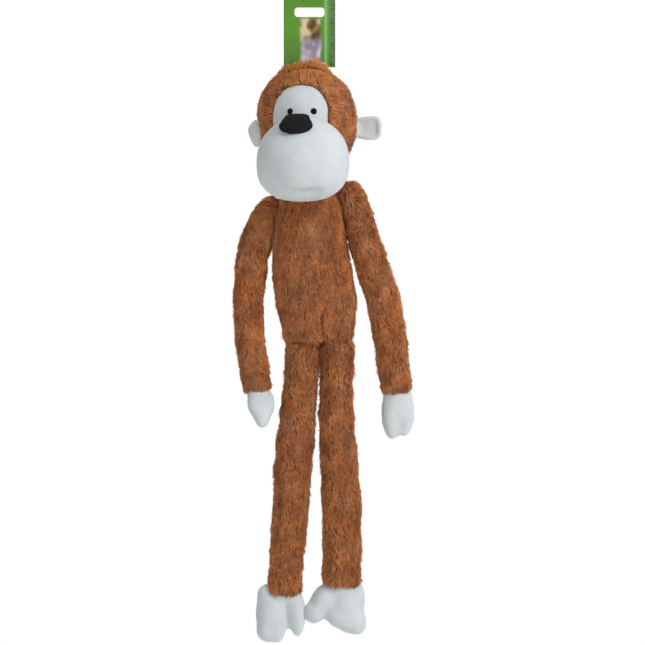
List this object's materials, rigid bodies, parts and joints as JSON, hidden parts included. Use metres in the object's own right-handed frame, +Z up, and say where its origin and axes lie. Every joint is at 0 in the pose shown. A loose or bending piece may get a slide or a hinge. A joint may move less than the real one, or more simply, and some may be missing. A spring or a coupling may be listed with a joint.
{
  "type": "stuffed monkey",
  "caption": "Long-limbed stuffed monkey with shaggy fur, a pale muzzle, hands and feet, sewn bending limbs and a slotted header card that it hangs from.",
  "frame": {"origin": "middle of the top edge of the hang slot, in the header card's mid-plane", "axes": "+Z up along the hanging toy, the monkey faces -Y, its own left side at +X"},
  "size_m": [0.1881, 0.1379, 0.6846],
  "materials": {
    "fur": "shaggy brown pile",
    "white_cloth": "short cool-white pile",
    "black_cloth": "black short pile and embroidery",
    "stuffing": "loose polyester fibre",
    "card": "printed, semi-gloss",
    "nylon": "translucent nylon",
    "squeaker_plastic": "moulded soft plastic"
  },
  "bodies": {
    "header_card": {"header_card": "card", "tag_pin_left": "nylon", "tag_pin_right": "nylon"},
    "head": {"hood_left": "fur", "hood_right": "fur", "face_panel": "white_cloth", "muzzle_upper": "white_cloth", "muzzle_lower": "white_cloth", "nose": "black_cloth", "eye_left": "black_cloth", "eye_right": "black_cloth", "head_stuffing": "stuffing", "muzzle_stuffing": "stuffing"},
    "ear_left": {"ear_left": "white_cloth"},
    "ear_right": {"ear_right": "white_cloth"},
    "torso": {"torso_front": "fur", "torso_back": "fur", "torso_stuffing": "stuffing", "squeaker_body": "squeaker_plastic", "squeaker_reed": "nylon"},
    "upper_arm_left": {"upper_sleeve_left": "fur", "upper_arm_stuffing_left": "stuffing"},
    "forearm_left": {"lower_sleeve_left": "fur", "forearm_stuffing_left": "stuffing"},
    "hand_left": {"hand_left": "white_cloth", "hand_stuffing_left": "stuffing"},
    "thigh_left": {"thigh_sleeve_left": "fur", "thigh_stuffing_left": "stuffing"},
    "shin_left": {"shin_sleeve_left": "fur", "shin_stuffing_left": "stuffing"},
    "foot_left": {"foot_left": "white_cloth", "foot_stuffing_left": "stuffing"},
    "upper_arm_right": {"upper_sleeve_right": "fur", "upper_arm_stuffing_right": "stuffing"},
    "forearm_right": {"lower_sleeve_right": "fur", "forearm_stuffing_right": "stuffing"},
    "hand_right": {"hand_right": "white_cloth", "hand_stuffing_right": "stuffing"},
    "thigh_right": {"thigh_sleeve_right": "fur", "thigh_stuffing_right": "stuffing"},
    "shin_right": {"shin_sleeve_right": "fur", "shin_stuffing_right": "stuffing"},
    "foot_right": {"foot_right": "white_cloth", "foot_stuffing_right": "stuffing"}
  },
  "joints": [
    {"name": "tag_swing", "type": "hinge", "parent": "header_card", "child": "head", "pos_m": [0, 0, -0.0641], "axis": [-1, 0, 0], "range_deg": [-20, 20]},
    {"name": "neck_bend", "type": "hinge", "parent": "head", "child": "torso", "pos_m": [-0.002, 0.0154, -0.1905], "axis": [-1, 0, 0], "range_deg": [-30, 10], "stiffness_Nm_per_rad": 0.1},
    {"name": "ear_left_flop", "type": "hinge", "parent": "head", "child": "ear_left", "pos_m": [0.05339, -0.00819, -0.127], "axis": [0, 0, 1], "range_deg": [-35, 35], "stiffness_Nm_per_rad": 0.004},
    {"name": "ear_right_flop", "type": "hinge", "parent": "head", "child": "ear_right", "pos_m": [-0.05356, 0.00684, -0.132], "axis": [0, 0, -1], "range_deg": [-60, 15], "stiffness_Nm_per_rad": 0.004},
    {"name": "shoulder_left", "type": "hinge", "parent": "torso", "child": "upper_arm_left", "pos_m": [0.046, 0.0154, -0.199], "axis": [-1, 0, 0], "range_deg": [-60, 90], "stiffness_Nm_per_rad": 0.03},
    {"name": "elbow_left", "type": "hinge", "parent": "upper_arm_left", "child": "forearm_left", "pos_m": [0.07628, 0.0154, -0.30058], "axis": [-1, 0, 0], "range_deg": [-10, 90], "stiffness_Nm_per_rad": 0.02},
    {"name": "wrist_left", "type": "hinge", "parent": "forearm_left", "child": "hand_left", "pos_m": [0.09171, 0.0154, -0.40141], "axis": [-1, 0, 0], "range_deg": [-50, 60], "stiffness_Nm_per_rad": 0.01},
    {"name": "hip_left", "type": "hinge", "parent": "torso", "child": "thigh_left", "pos_m": [0.03, 0.0164, -0.3665], "axis": [-1, 0, 0], "range_deg": [-40, 80], "stiffness_Nm_per_rad": 0.04},
    {"name": "knee_left", "type": "hinge", "parent": "thigh_left", "child": "shin_left", "pos_m": [0.03188, 0.0164, -0.48649], "axis": [1, 0, 0], "range_deg": [-30, 90], "stiffness_Nm_per_rad": 0.03},
    {"name": "ankle_left", "type": "hinge", "parent": "shin_left", "child": "foot_left", "pos_m": [0.03377, 0.0164, -0.60647], "axis": [-1, 0, 0], "range_deg": [-30, 50], "stiffness_Nm_per_rad": 0.015},
    {"name": "shoulder_right", "type": "hinge", "parent": "torso", "child": "upper_arm_right", "pos_m": [-0.046, 0.0154, -0.209], "axis": [-1, 0, 0], "range_deg": [-60, 90], "stiffness_Nm_per_rad": 0.03},
    {"name": "elbow_right", "type": "hinge", "parent": "upper_arm_right", "child": "forearm_right", "pos_m": [-0.06495, 0.0154, -0.31024], "axis": [-1, 0, 0], "range_deg": [-10, 90], "stiffness_Nm_per_rad": 0.02},
    {"name": "wrist_right", "type": "hinge", "parent": "forearm_right", "child": "hand_right", "pos_m": [-0.05442, 0.0154, -0.40264], "axis": [-1, 0, 0], "range_deg": [-80, 20], "stiffness_Nm_per_rad": 0.01},
    {"name": "hip_right", "type": "hinge", "parent": "torso", "child": "thigh_right", "pos_m": [-0.007, 0.0164, -0.3665], "axis": [-1, 0, 0], "range_deg": [-40, 80], "stiffness_Nm_per_rad": 0.04},
    {"name": "knee_right", "type": "hinge", "parent": "thigh_right", "child": "shin_right", "pos_m": [-0.01746, 0.0164, -0.48604], "axis": [1, 0, 0], "range_deg": [-30, 90], "stiffness_Nm_per_rad": 0.03},
    {"name": "ankle_right", "type": "hinge", "parent": "shin_right", "child": "foot_right", "pos_m": [-0.02653, 0.0164, -0.61573], "axis": [-1, 0, 0], "range_deg": [-30, 50], "stiffness_Nm_per_rad": 0.015}
  ]
}
